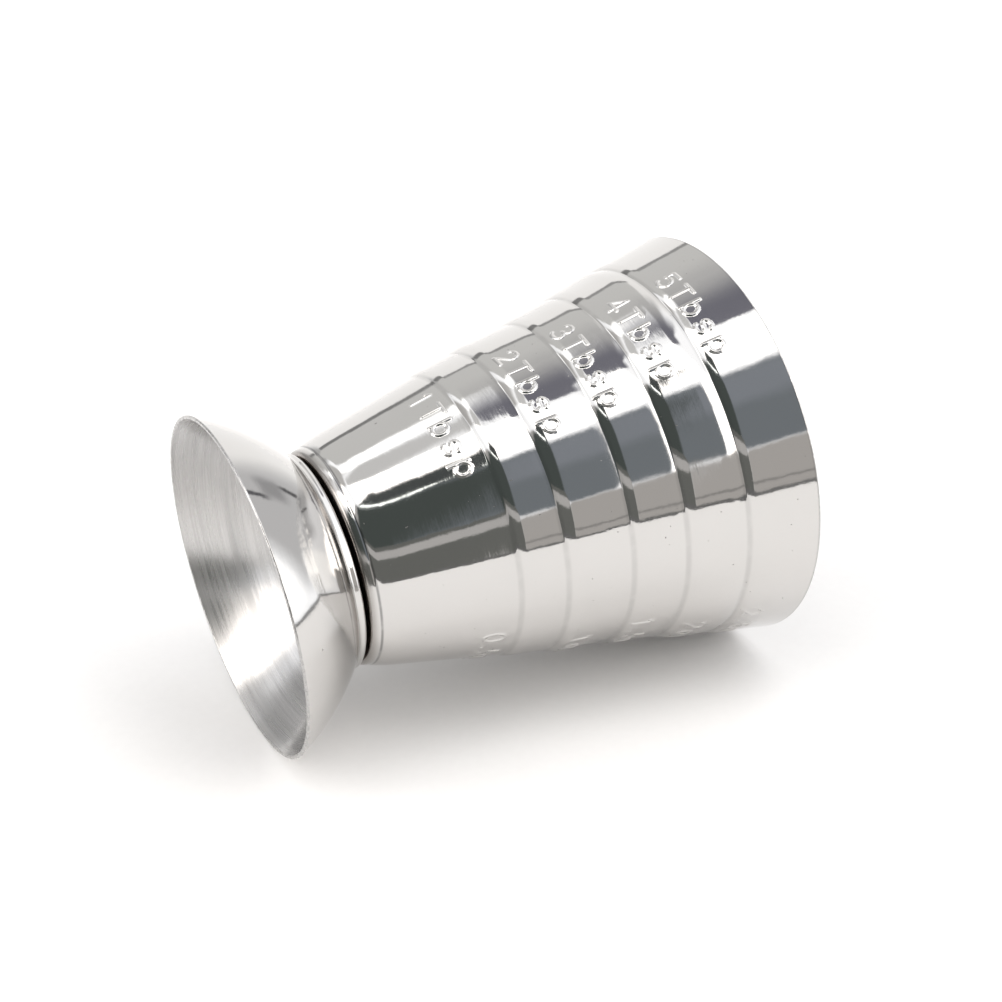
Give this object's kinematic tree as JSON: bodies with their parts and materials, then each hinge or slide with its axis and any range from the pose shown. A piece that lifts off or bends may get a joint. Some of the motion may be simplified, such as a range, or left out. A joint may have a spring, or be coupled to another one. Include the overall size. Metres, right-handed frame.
{
  "type": "bar jigger",
  "caption": "Stepped conical measuring cup of thin polished stainless steel, joined end to end to a shallow flared bell that it stands on, for measuring drinks.",
  "frame": {"origin": "centre of the bell's rim, in the plane that the jigger stands on", "axes": "+Z along the axis of the cup, up towards its mouth; X and Y are level, and the tablespoon marks face -Y"},
  "size_m": [0.0552, 0.0552, 0.0685],
  "materials": {
    "polished_steel": "mirror-polished stainless steel",
    "satin_steel": "stainless steel, polished outside and brushed to a satin inside",
    "weld_metal": "dull resistance-weld metal"
  },
  "bodies": {
    "root": {"measuring_cup": "polished_steel", "base_bell": "satin_steel", "weld_spot_1": "weld_metal", "weld_spot_2": "weld_metal", "weld_spot_3": "weld_metal", "weld_spot_4": "weld_metal"}
  },
  "joints": []
}
